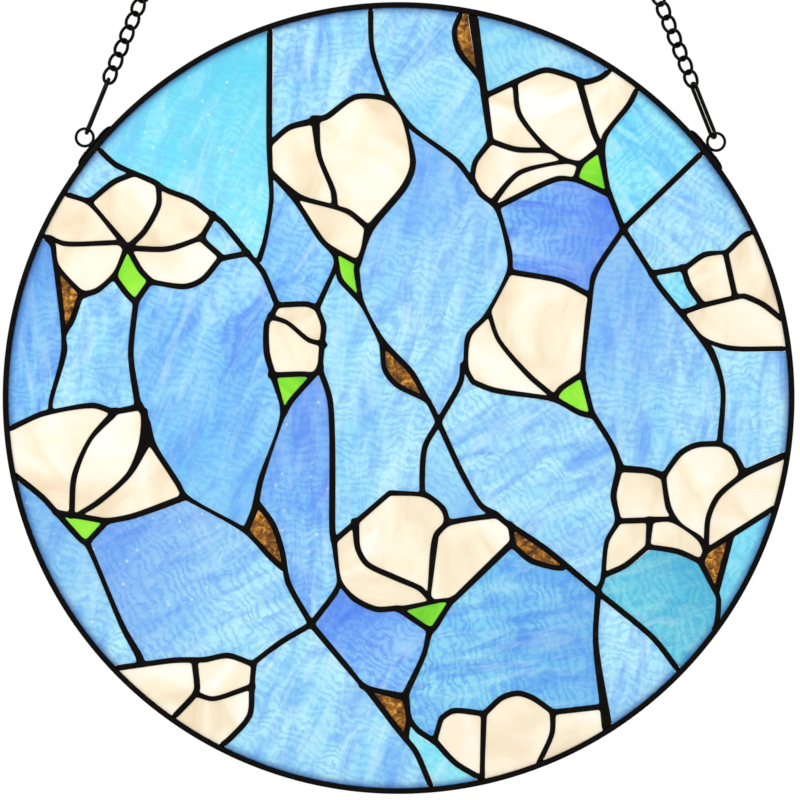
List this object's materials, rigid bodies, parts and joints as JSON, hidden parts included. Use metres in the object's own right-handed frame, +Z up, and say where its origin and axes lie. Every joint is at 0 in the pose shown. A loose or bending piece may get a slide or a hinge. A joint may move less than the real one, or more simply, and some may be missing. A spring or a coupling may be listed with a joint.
{
  "type": "hanging stained glass window panel",
  "caption": "Round hanging stained glass panel of leaded magnolia flowers on streaky blue glass, with a black came rim, hanging rings, wire loops and short chains.",
  "frame": {"origin": "midway between the two hanging links, where the hooks bear", "axes": "+Z up, -Y is the front, +X is to the viewer's right"},
  "size_m": [0.508, 0.0076, 0.5401],
  "materials": {
    "sky_glass": "streaky blue art glass",
    "petal_glass": "opalescent cream glass",
    "leaf_glass": "hammered amber glass",
    "black_metal": "black patina solder and came"
  },
  "bodies": {
    "root": {"sky_pane_01": "sky_glass", "sky_pane_02": "sky_glass", "sky_pane_03": "sky_glass", "sky_pane_04": "sky_glass", "sky_pane_05": "sky_glass", "sky_pane_06": "sky_glass", "sky_pane_07": "sky_glass", "sky_pane_08": "sky_glass", "sky_pane_09": "sky_glass", "sky_pane_10": "sky_glass", "sky_pane_11": "sky_glass", "sky_pane_12": "sky_glass", "sky_pane_13": "sky_glass", "sky_pane_14": "sky_glass", "sky_pane_15": "sky_glass", "sky_pane_16": "sky_glass", "sky_pane_17": "sky_glass", "sky_pane_18": "sky_glass", "sky_pane_19": "sky_glass", "sky_pane_20": "sky_glass", "sky_pane_21": "sky_glass", "sky_pane_22": "sky_glass", "sky_pane_23": "sky_glass", "sky_pane_24": "sky_glass", "sky_pane_25": "sky_glass", "sky_pane_26": "sky_glass", "sky_pane_27": "sky_glass", "sky_pane_28": "sky_glass", "sky_pane_29": "sky_glass", "sky_pane_30": "sky_glass", "leaf_1": "leaf_glass", "leaf_2": "leaf_glass", "leaf_3": "leaf_glass", "leaf_4": "leaf_glass", "leaf_5": "leaf_glass", "leaf_6": "leaf_glass", "leaf_7": "leaf_glass", "flower_top_left": "petal_glass", "flower_top": "petal_glass", "flower_top_right": "petal_glass", "flower_upper_right": "petal_glass", "flower_right": "petal_glass", "flower_left": "petal_glass", "flower_lower": "petal_glass", "flower_lower_right": "petal_glass", "flower_bottom": "petal_glass", "flower_lower_left": "petal_glass", "bud": "petal_glass", "solder_network": "black_metal", "border_came": "black_metal", "solder_strip_left": "black_metal", "solder_strip_right": "black_metal", "hanging_ring_left": "black_metal", "hanging_ring_right": "black_metal", "wire_loop_left": "black_metal", "wire_loop_right": "black_metal", "chain_left": "black_metal", "chain_right": "black_metal", "end_link_left": "black_metal", "end_link_right": "black_metal"}
  },
  "joints": []
}
